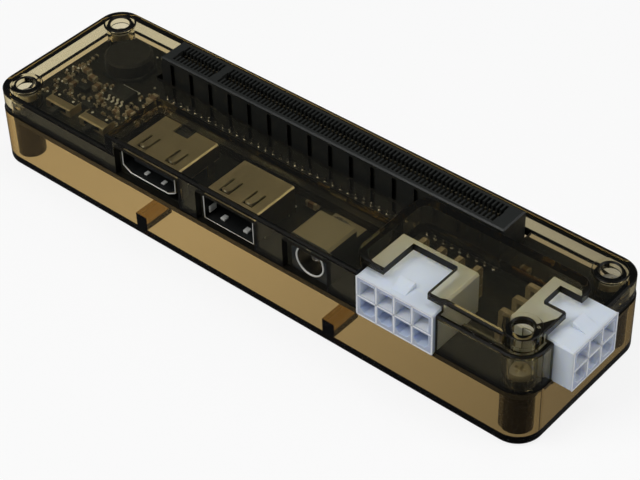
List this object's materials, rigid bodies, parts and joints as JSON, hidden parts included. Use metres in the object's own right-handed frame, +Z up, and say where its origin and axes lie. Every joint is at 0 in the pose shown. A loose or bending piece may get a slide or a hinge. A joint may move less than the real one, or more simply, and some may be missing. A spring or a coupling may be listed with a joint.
{
  "type": "external graphics card enclosure",
  "caption": "Smoked clear long box with a full-length card slot along its top, a display-style port, a flat serial port, a barrel jack and white power headers.",
  "frame": {"origin": "middle of the tray's flat underside", "axes": "+Z up, +X towards the six-way power outlet, -Y towards the ports"},
  "size_m": [0.1433, 0.039, 0.0254],
  "materials": {
    "smoked_tray": "clear smoked moulding, polished",
    "smoked_cover": "clear smoked moulding, polished",
    "screw_steel": "plated screw",
    "board_laminate": "black solder mask",
    "black_nylon": "glass-filled nylon",
    "white_nylon": "natural white nylon",
    "contact_brass": "plated spring contact",
    "tinned_metal": "tin plated",
    "shell_steel": "nickel plated sheet",
    "lever_plastic": "black lever",
    "ferrite": "shielded ferrite",
    "ceramic_tan": "fired ceramic chip",
    "resistor_black": "glazed chip"
  },
  "bodies": {
    "case_body": {"bottom_tray": "smoked_tray", "top_cover": "smoked_cover", "cover_screws": "screw_steel", "circuit_board": "board_laminate", "card_slot_housing": "black_nylon", "card_slot_contacts": "contact_brass", "power_inlet_housing": "white_nylon", "power_inlet_pins": "tinned_metal", "power_outlet_housing": "white_nylon", "power_outlet_pins": "tinned_metal", "link_port_shell": "shell_steel", "link_port_tongue": "black_nylon", "link_port_contacts": "contact_brass", "serial_port_shell": "shell_steel", "serial_port_tongue": "black_nylon", "serial_port_contacts": "contact_brass", "dc_jack_body": "black_nylon", "dc_jack_sleeve": "tinned_metal", "dc_jack_pin": "tinned_metal", "setting_switch_1_frame": "shell_steel", "setting_switch_1_base": "black_nylon", "setting_switch_2_frame": "shell_steel", "setting_switch_2_base": "black_nylon", "power_inductor_base": "black_nylon", "power_inductor_core": "ferrite", "control_chip_body": "black_nylon", "control_chip_leads": "tinned_metal", "ceramic_capacitors": "ceramic_tan", "chip_resistors": "resistor_black", "small_transistors": "black_nylon"},
    "switch_1_lever": {"setting_switch_1_lever": "lever_plastic"},
    "switch_2_lever": {"setting_switch_2_lever": "lever_plastic"}
  },
  "joints": [
    {"name": "switch_1_slide", "type": "slide", "parent": "case_body", "child": "switch_1_lever", "axis": [1, 0, 0], "range_m": [-0.0015, 0.0015]},
    {"name": "switch_2_slide", "type": "slide", "parent": "case_body", "child": "switch_2_lever", "axis": [1, 0, 0], "range_m": [-0.0015, 0.0015]}
  ]
}
